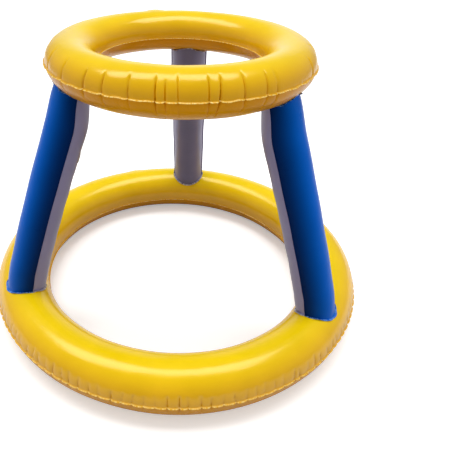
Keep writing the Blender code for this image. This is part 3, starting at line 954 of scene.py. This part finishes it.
def leg_points(sheet, turn, section, rows, angle, share, calm):
    """A leg's sheet round by along: foot's hem, drawn-in foot, tube, drawn-in head, head's hem.

    A drawn-in end is a cubic from the weld, where it leaves along the leg's line and a little along
    the ring's normal, to the straight part.
    """
    along = share * leg_length
    points = straight_points(section, angle, along, calm, turn, sheet)
    axis = turned_about_z(turn) @ leg_axis
    for end, at, draw, sign in ((FOOT_END, 0, LEG_FOOT_DRAW, 1), (HEAD_END, 1, LEG_HEAD_DRAW, -1)):
        seat = weld_row(end, turn, section, 0)
        normal = (weld_row(end, turn, section, 0, NORMAL_STEP) - seat) / NORMAL_STEP
        edge_along = np.full((len(section.angle), 1), at * leg_length + sign * draw)
        edge = straight_points(section, section.angle[:, None], edge_along, 1, turn, sheet)[:, 0]
        span = np.linalg.norm(edge - seat, axis=1)[:, None]
        leaving = (sign * axis * LEAVING_ALONG + normal * LEAVING_OFF) * span
        for column, row in enumerate(rows):
            t = sign * (row - at) * leg_length / draw
            if t < 0:
                points[:, column] = weld_row(end, turn, section, sign * (at - row))
            elif t < 1:
                points[:, column] = hermite(seat, leaving, edge, sign * axis * span, t)
    return points


HEM_FROM = 0.2
HEM_GATHER = 0.5


def leg_film(name, sheet, turn, place=None):
    """One sheet of a leg, with a round hole for its valve where it has one.

    Its crown share is cos² of the way from the middle of the sheet to its seams, and the material
    paints shade and sheen with it. Its weld share, on the hems, carries a painted highlight.
    """
    angle_lines, row_lines, calm, in_hole = [], [], 1, None
    if place:
        from_foot = float(np.linalg.norm(place.origin - turned_about_z(turn) @ leg_foot))
        valve_row = (from_foot**2 - LEG_FOOT_RADIUS**2) ** 0.5 / leg_length
        angle_lines = lines_at_hole(math.pi, LEG_FOOT_RADIUS)
        row_lines = lines_at_hole(valve_row, leg_length)
    section = leg_section(sheet, angle_lines)
    rows = leg_rows(row_lines)
    angle, share = np.meshgrid(section.angle, rows, indexing="ij")
    if place:
        across = (angle - math.pi) * LEG_FOOT_RADIUS
        along = (share - valve_row) * leg_length
        calm = smooth_step(CALM_FROM, CALM_TO, np.hypot(across, along))
        across, along, in_hole = round_hole(across, along)
        angle = math.pi + across / LEG_FOOT_RADIUS
        share = valve_row + along / leg_length
    points = leg_points(sheet, turn, section, rows, angle, share, calm)
    on_hem = (np.clip(np.maximum(-rows, rows - 1), 0, 1) > HEM_FROM).astype(float)
    from_middle = (angle - SHEET_MIDDLE[sheet]) / SHEET_HALF[sheet]
    crown = np.cos(np.clip(from_middle, -1, 1) * math.pi / 2) ** 2
    shares = {"weld": on_hem[None, :], "crown": crown, "gather": HEM_GATHER * on_hem[None, :]}
    return film_object(name, points, shares, wraps=False, in_hole=in_hole)


# Blue film: deep royal blue over the middle of the sheet and near navy along the side seams, a
# painted shade where the tube turns away from the light. The hem's thin free rim is painted paler, a
# highlight. Grey film: a cool, faintly violet grey, painted darker over the middle of the sheet and
# paler towards its seams as shade and sheen, with a creamy painted highlight on its rim.
BLUE = FilmColours("#0066D4", "#022058", "#6E9CDC", "#022058", "#60B0FF")
GREY = FilmColours("#706A86", "#928EB6", "#D8D2C8", "#706A86", "#FFFFFF")
blue_film = film_material("calendered_blue_pvc_film", BLUE, roughness=0.30, specular=0.10)
grey_film = film_material("calendered_grey_pvc_film", GREY, roughness=0.32, specular=0.26)
for leg_name, degrees in LEG_ANGLES_DEG.items():
    leg = f"leg_{leg_name}"
    leg_turn = math.radians(degrees)
    blue_sheet = leg_film(f"{leg}_outer_film", "outer", leg_turn)
    dress(blue_sheet, blue_film, "hoop", f"{leg}_outer_panel")
    grey_sheet = leg_film(f"{leg}_inner_film", "inner", leg_turn, valve_place(leg))
    dress(grey_sheet, grey_film, "hoop", f"{leg}_inner_panel")

# Valves. Five push-in valves of soft PVC. Each has a seat, which is a flange with a cup and a guide
# sleeve, welded on round a hole in the film, a stem that slides in the sleeve, a plug on a strap
# and a check flap. All four are injection moulded, so every edge is rounded.
BORE = 0.0019
STEM_OUTSIDE = 0.0029
LIP_OUTSIDE = 0.0049
CUP_INSIDE = 0.0052
CUP_OUTSIDE = 0.0060
SLEEVE_INSIDE = 0.0032
SLEEVE_OUTSIDE = 0.0040
FLANGE_OUTSIDE = 0.0086
FLANGE_LOW, FLANGE_HIGH = 0.0003, 0.0009
FLOOR_HIGH, FLOOR_LOW, SLEEVE_LOW = -0.0011, -0.0019, -0.0049
LIP_HIGH, LIP_LOW = 0.0, -0.0008
BEAD_HIGH, BEAD_LOW, BEAD_OUTSIDE = -0.0132, -0.0142, 0.0037
PLUG_OUTSIDE, PLUG_LOW = 0.0039, 0.0003
PIN_TOP_OUTSIDE, PIN_TIP_OUTSIDE, PIN_LOW = 0.0016, 0.0011, -0.0017
FLAP_OUTSIDE, FLAP_HIGH, FLAP_LOW = 0.0027, -0.0145, -0.0149
FLAP_HINGE_OUT = 0.0031
STRAP_HALF_WIDTH = 0.0012
STRAP_OVERLAP, STRAP_END = 0.0009, 0.0003
EDGE_ROUND = 0.00018
EDGE_SHARE = 0.45
EDGE_STEPS = 4
LATHE_STEPS = 56
STRAP_STEPS = (32, 17)
STRAP_BLUNTNESS = 0.25
MOULDED_SHARP_EDGE = math.radians(50)


def rounded(profile, closed):
    """A profile with each corner replaced by a quadratic curve between points next to the corner."""
    points = np.array(profile, float)
    before, after = np.roll(points, 1, axis=0) - points, np.roll(points, -1, axis=0) - points
    before_length = np.linalg.norm(before, axis=1, keepdims=True)
    after_length = np.linalg.norm(after, axis=1, keepdims=True)
    reach = np.minimum(EDGE_ROUND, np.minimum(before_length, after_length) * EDGE_SHARE)
    t = np.linspace(0, 1, EDGE_STEPS)[None, :, None]
    start = (points + before / before_length * reach)[:, None]
    stop = (points + after / after_length * reach)[:, None]
    curve = (1 - t) ** 2 * start + 2 * t * (1 - t) * points[:, None] + t**2 * stop
    if closed:
        return curve.reshape(-1, 2)
    return np.concatenate([points[:1], curve[1:-1].reshape(-1, 2), points[-1:]])


def with_poles(index):
    """A grid of point numbers whose first and last columns are one point each."""
    index[:, 0] = index[0, 0]
    index[:, -1] = index[0, -1]
    return index


def lathe(profile, place, bend=None):
    """Points and quads of a profile of (radius, height) turned round a valve's axis.

    A profile that starts and ends on the axis closes in a pole at both ends, and any other one
    closes on itself. Its turning sense makes the faces point outwards. bend is the radius of a
    leg, whose curve -y² / (2 * bend) the flange follows.
    """
    on_axis = profile[0][0] == 0
    section = rounded(profile, not on_axis)
    radius, height = section.T
    if np.sum(radius * np.roll(height, -1) - np.roll(radius, -1) * height) < 0:
        section = section[::-1]
    angles = np.arange(LATHE_STEPS) * math.tau / LATHE_STEPS
    x = np.cos(angles)[:, None] * section[None, :, 0]
    y = np.sin(angles)[:, None] * section[None, :, 0]
    z = np.broadcast_to(section[:, 1], x.shape)
    if bend:
        z = z - y**2 / (2 * bend)
    points = np.stack([x, y, z], -1) @ place.axes + place.origin
    index = np.arange(x.size).reshape(x.shape)
    if on_axis:
        index = with_poles(index)
    return points.reshape(-1, 3), grid_quads(index, wraps_down=True, wraps_across=not on_axis)


def blunt(wave):
    """A sine or cosine to the power of a quarter, with its sign kept, which squares a circle."""
    return np.sign(wave) * np.abs(wave) ** STRAP_BLUNTNESS


def strap(place, start, stop, high, low):
    """Points and quads of a flat strap: a superellipsoid with exponents of a quarter, like a worn bar."""
    round_steps, up_steps = STRAP_STEPS
    u = np.linspace(-math.pi, math.pi, round_steps, endpoint=False)
    v = np.linspace(-math.pi / 2, math.pi / 2, up_steps)
    u, v = np.meshgrid(u, v, indexing="ij")
    x = (start + stop) / 2 + (stop - start) / 2 * blunt(np.cos(v)) * blunt(np.cos(u))
    y = STRAP_HALF_WIDTH * blunt(np.cos(v)) * blunt(np.sin(u))
    z = (high + low) / 2 + (high - low) / 2 * blunt(np.sin(v))
    points = np.stack([x, y, z], -1) @ place.axes + place.origin
    index = with_poles(np.arange(u.size).reshape(u.shape))
    return points.reshape(-1, 3), grid_quads(index, wraps_down=True, wraps_across=False)


def moulding(name, shells):
    """One moulded piece of one or more closed shells.

    A quad at a pole has the pole twice, and is made a triangle. Points that no face uses go.
    """
    starts = np.cumsum([0] + [len(points) for points, _ in shells])
    quads = np.concatenate([quads + start for (_, quads), start in zip(shells, starts)])
    used, quads = np.unique(quads, return_inverse=True)
    faces = [tuple(dict.fromkeys(quad)) for quad in quads.reshape(-1, 4).tolist()]
    mesh = bpy.data.meshes.new(name)
    mesh.from_pydata(np.concatenate([points for points, _ in shells])[used], [], faces)
    mesh.shade_smooth()
    mesh.set_sharp_from_angle(angle=MOULDED_SHARP_EDGE)
    piece = bpy.data.objects.new(name, mesh)
    bpy.context.scene.collection.objects.link(piece)
    return piece


CLOUD_SIZE = 0.004
CLOUD_DEPTH = 0.00005


def soft_moulded_pvc():
    """Plasticised PVC moulding: milky and a little see-through, with a satin, slightly uneven skin.

    One noise on Object coordinates clouds its colour and lifts its skin.
    """
    material = bpy.data.materials.new("soft_moulded_pvc")
    material.use_nodes = True
    tree = material.node_tree
    shader = tree.nodes["Principled BSDF"]
    place = add_node(tree, "ShaderNodeTexCoord")
    cloud = add_node(
        tree,
        "ShaderNodeTexNoise",
        inputs={"Scale": 1 / CLOUD_SIZE, "Detail": 2, "Roughness": 0.5},
        links={"Vector": place.outputs["Object"]},
    )
    tone = add_node(
        tree,
        "ShaderNodeMix",
        {"data_type": "RGBA"},
        {6: linear("#E9E5D8"), 7: linear("#DAD6CA")},
        {0: cloud.outputs["Fac"]},
    )
    bump = add_node(
        tree,
        "ShaderNodeBump",
        inputs={"Strength": 0.2, "Distance": CLOUD_DEPTH},
        links={"Height": cloud.outputs["Fac"]},
    )
    tree.links.new(tone.outputs[2], shader.inputs["Base Color"])
    tree.links.new(bump.outputs["Normal"], shader.inputs["Normal"])
    shader.inputs["Roughness"].default_value = 0.32
    shader.inputs["IOR"].default_value = PVC_IOR
    shader.inputs["Transmission Weight"].default_value = 0.25
    return material


soft_pvc = soft_moulded_pvc()
SEAT_PROFILE = [
    (FLANGE_OUTSIDE, FLANGE_LOW),
    (FLANGE_OUTSIDE, FLANGE_HIGH),
    (CUP_INSIDE, FLANGE_HIGH),
    (CUP_INSIDE, FLOOR_HIGH),
    (SLEEVE_INSIDE, FLOOR_HIGH),
    (SLEEVE_INSIDE, SLEEVE_LOW),
    (SLEEVE_OUTSIDE, SLEEVE_LOW),
    (SLEEVE_OUTSIDE, FLOOR_LOW),
    (CUP_OUTSIDE, FLOOR_LOW),
    (CUP_OUTSIDE, FLANGE_LOW),
]
STEM_PROFILE = [
    (BORE, LIP_HIGH),
    (LIP_OUTSIDE, LIP_HIGH),
    (LIP_OUTSIDE, LIP_LOW),
    (STEM_OUTSIDE, LIP_LOW),
    (STEM_OUTSIDE, BEAD_HIGH),
    (BEAD_OUTSIDE, BEAD_HIGH),
    (BEAD_OUTSIDE, BEAD_LOW),
    (BORE, BEAD_LOW),
]
PLUG_PROFILE = [
    (0, PLUG_HEAD_TOP),
    (PLUG_OUTSIDE, PLUG_HEAD_TOP),
    (PLUG_OUTSIDE, PLUG_LOW),
    (PIN_TOP_OUTSIDE, PLUG_LOW),
    (PIN_TIP_OUTSIDE, PIN_LOW),
    (0, PIN_LOW),
]
FLAP_PROFILE = [(0, FLAP_HIGH), (FLAP_OUTSIDE, FLAP_HIGH), (FLAP_OUTSIDE, FLAP_LOW), (0, FLAP_LOW)]
PLUG_STRAP = (PLUG_OUTSIDE - STRAP_OVERLAP, PLUG_HINGE_OUT + STRAP_END, PLUG_HEAD_TOP, PLUG_LOW)
FLAP_STRAP = (FLAP_OUTSIDE - STRAP_OVERLAP, FLAP_HINGE_OUT + STRAP_END, FLAP_HIGH, FLAP_LOW)
for chamber in ("base_ring", "hoop_ring", "leg_back", "leg_left", "leg_right"):
    valve = valve_place(chamber)
    bend_radius = LEG_HEAD_RADIUS if "leg" in chamber else None
    mouldings = {
        "seat": [lathe(SEAT_PROFILE, valve, bend_radius)],
        "stem": [lathe(STEM_PROFILE, valve)],
        "plug": [lathe(PLUG_PROFILE, valve), strap(valve, *PLUG_STRAP)],
        "flap": [lathe(FLAP_PROFILE, valve), strap(valve, *FLAP_STRAP)],
    }
    for part, shells in mouldings.items():
        piece = moulding(f"{chamber}_moulded_{part}", shells)
        body = "hoop" if part == "seat" else f"{chamber}_{part}"
        dress(piece, soft_pvc, body, f"{chamber}_valve_{part}")

# Studio. A plain matt floor, white to the camera and grey to the light that it throws back. One
# broad soft box hangs high above, a little behind and to the left. The world is a little brighter
# behind and beside the object than in front of it, and plain white where the camera sees it.
FLOOR_HALF = 4.0
FLOOR_DROP = 0.0002
FLOOR_GLOW = 0.35
floor_mesh = bpy.data.meshes.new("floor")
floor_corners = [(-1, -1), (1, -1), (1, 1), (-1, 1)]
floor_points = [(x * FLOOR_HALF, y * FLOOR_HALF, -FLOOR_DROP) for x, y in floor_corners]
floor_mesh.from_pydata(floor_points, [], [(0, 1, 2, 3)])
floor = bpy.data.objects.new("floor", floor_mesh)
bpy.context.scene.collection.objects.link(floor)

# Matt floor paint: no gloss. Its mid grey keeps the bounce from below weak, and cameras, mirrors and
# clear plastic see it white, with the object's shadow.
floor_material = bpy.data.materials.new("matt_studio_floor")
floor_material.use_nodes = True
floor_tree = floor_material.node_tree
floor_shader = floor_tree.nodes["Principled BSDF"]
floor_shader.inputs["Roughness"].default_value = 1.0
floor_shader.inputs["Specular IOR Level"].default_value = 0.0
floor_path = add_node(floor_tree, "ShaderNodeLightPath")
floor_direct = add_node(
    floor_tree,
    "ShaderNodeMath",
    {"operation": "MAXIMUM"},
    links={0: floor_path.outputs["Is Camera Ray"], 1: floor_path.outputs["Is Transmission Ray"]},
)
floor_seen = add_node(
    floor_tree,
    "ShaderNodeMath",
    {"operation": "MAXIMUM"},
    links={0: floor_direct.outputs[0], 1: floor_path.outputs["Is Glossy Ray"]},
)
floor_colour = add_node(
    floor_tree,
    "ShaderNodeMix",
    {"data_type": "RGBA"},
    {6: linear("#959595"), 7: linear("#FFFFFF")},
    {0: floor_seen.outputs[0]},
)
floor_glow = add_node(
    floor_tree,
    "ShaderNodeMath",
    {"operation": "MULTIPLY"},
    {1: FLOOR_GLOW},
    {0: floor_direct.outputs[0]},
)
floor_tree.links.new(floor_colour.outputs[2], floor_shader.inputs["Base Color"])
floor_tree.links.new(floor_glow.outputs[0], floor_shader.inputs["Emission Strength"])
floor_mesh.materials.append(floor_material)

ROOM_TURN_FROM, ROOM_TURN_TO = -0.9, 0.5
ROOM_FRONT, ROOM_BACK = 0.67, 0.74
ROOM_SIDES = 0.4
ROOM_CEILING = 0.58
ROOM_IN_GLOSS = 0.36
WHITE_WALL_FROM = 0.85
world = bpy.data.worlds.new("studio")
bpy.context.scene.world = world
world.use_nodes = True
world_tree = world.node_tree
background = world_tree.nodes["Background"]
direction = add_node(world_tree, "ShaderNodeTexCoord")
split = add_node(world_tree, "ShaderNodeSeparateXYZ", links={0: direction.outputs["Generated"]})
level = add_node(
    world_tree,
    "ShaderNodeMapRange",
    inputs={
        "From Min": ROOM_TURN_FROM,
        "From Max": ROOM_TURN_TO,
        "To Min": ROOM_FRONT,
        "To Max": ROOM_BACK,
    },
    links={"Value": split.outputs["Y"]},
)
sideways = add_node(
    world_tree,
    "ShaderNodeMath",
    {"operation": "MULTIPLY"},
    links={0: split.outputs["X"], 1: split.outputs["X"]},
)
sides = add_node(
    world_tree,
    "ShaderNodeMath",
    {"operation": "MULTIPLY_ADD"},
    {1: ROOM_SIDES},
    {0: sideways.outputs[0], 2: level.outputs["Result"]},
)
ceiling = add_node(
    world_tree,
    "ShaderNodeMapRange",
    inputs={"To Min": 1.0, "To Max": ROOM_CEILING},
    links={"Value": split.outputs["Z"]},
)
room = add_node(
    world_tree,
    "ShaderNodeMath",
    {"operation": "MULTIPLY"},
    links={0: sides.outputs[0], 1: ceiling.outputs["Result"]},
)
behind = add_node(
    world_tree,
    "ShaderNodeMapRange",
    inputs={"From Min": WHITE_WALL_FROM, "From Max": 1.0},
    links={"Value": split.outputs["Y"]},
)
world_path = add_node(world_tree, "ShaderNodeLightPath")
mirrored = add_node(
    world_tree,
    "ShaderNodeMath",
    {"operation": "MULTIPLY"},
    links={0: world_path.outputs["Is Glossy Ray"], 1: behind.outputs["Result"]},
)
world_direct = add_node(
    world_tree,
    "ShaderNodeMath",
    {"operation": "MAXIMUM"},
    links={0: world_path.outputs["Is Camera Ray"], 1: world_path.outputs["Is Transmission Ray"]},
)
world_seen = add_node(
    world_tree,
    "ShaderNodeMath",
    {"operation": "MAXIMUM"},
    links={0: world_direct.outputs[0], 1: mirrored.outputs[0]},
)
dimming = add_node(
    world_tree,
    "ShaderNodeMapRange",
    inputs={"To Min": 1.0, "To Max": ROOM_IN_GLOSS},
    links={"Value": world_path.outputs["Is Glossy Ray"]},
)
dimmed = add_node(
    world_tree,
    "ShaderNodeMath",
    {"operation": "MULTIPLY"},
    links={0: room.outputs[0], 1: dimming.outputs["Result"]},
)
strength = add_node(
    world_tree,
    "ShaderNodeMix",
    {"data_type": "FLOAT"},
    {3: 1.0},
    {0: world_seen.outputs[0], 2: dimmed.outputs[0]},
)
world_tree.links.new(strength.outputs[0], background.inputs["Strength"])
background.inputs["Color"].default_value = linear("#FFFFFF")

SOFT_BOX_WIDTH = 14.0
SOFT_BOX_DEPTH = 5.0
SOFT_BOX_DISTANCE = 12.0
SOFT_BOX_LEFT = 1.3
SOFT_BOX_TILT = math.radians(9)
SOFT_BOX_WATTS = 990.0
overhead = bpy.data.lights.new("overhead_soft_box", "AREA")
overhead.shape = "RECTANGLE"
overhead.size = SOFT_BOX_WIDTH
overhead.size_y = SOFT_BOX_DEPTH
overhead.energy = SOFT_BOX_WATTS
soft_box = bpy.data.objects.new("overhead_soft_box", overhead)
soft_box.location.x = -SOFT_BOX_LEFT
soft_box.location.y = SOFT_BOX_DISTANCE * math.sin(SOFT_BOX_TILT)
soft_box.location.z = SOFT_BOX_DISTANCE * math.cos(SOFT_BOX_TILT)
soft_box.rotation_euler.x = -SOFT_BOX_TILT
soft_box.visible_camera = False
bpy.context.scene.collection.objects.link(soft_box)

# Camera, at the photograph's angle. Its place, its turn and the shift of its axis in the picture
# come from a fit to the object's outlines.
PHOTO_SIZE_PX = 470
FOCAL_PX = 446.03
AXIS_PX = (171.7, 264.6)
CAMERA_PLACE = (0.0165, -0.6345, 0.5542)
CAMERA_PITCH = 0.6929
CAMERA_YAW = -0.0375
CAMERA_ROLL = 0.0165
camera_data = bpy.data.cameras.new("camera")
camera_data.sensor_fit = "HORIZONTAL"
camera_data.lens = camera_data.sensor_width * FOCAL_PX / PHOTO_SIZE_PX
camera_data.shift_x = (PHOTO_SIZE_PX / 2 - AXIS_PX[0]) / PHOTO_SIZE_PX
camera_data.shift_y = (AXIS_PX[1] - PHOTO_SIZE_PX / 2) / PHOTO_SIZE_PX
camera_data.clip_start = 0.01
camera = bpy.data.objects.new("camera", camera_data)
forward = np.array(
    [
        math.sin(CAMERA_YAW) * math.cos(CAMERA_PITCH),
        math.cos(CAMERA_YAW) * math.cos(CAMERA_PITCH),
        -math.sin(CAMERA_PITCH),
    ]
)
level_right = np.array([math.cos(CAMERA_YAW), -math.sin(CAMERA_YAW), 0])
level_up = np.cross(level_right, forward)
camera_right = math.cos(CAMERA_ROLL) * level_right + math.sin(CAMERA_ROLL) * level_up
camera_up = math.cos(CAMERA_ROLL) * level_up - math.sin(CAMERA_ROLL) * level_right
camera_turn = Matrix(np.stack([camera_right, camera_up, -forward], 1).tolist())
camera.matrix_world = Matrix.Translation(CAMERA_PLACE) @ camera_turn.to_4x4()
bpy.context.scene.collection.objects.link(camera)
bpy.context.scene.camera = camera
bpy.context.scene.view_settings.view_transform = "Standard"
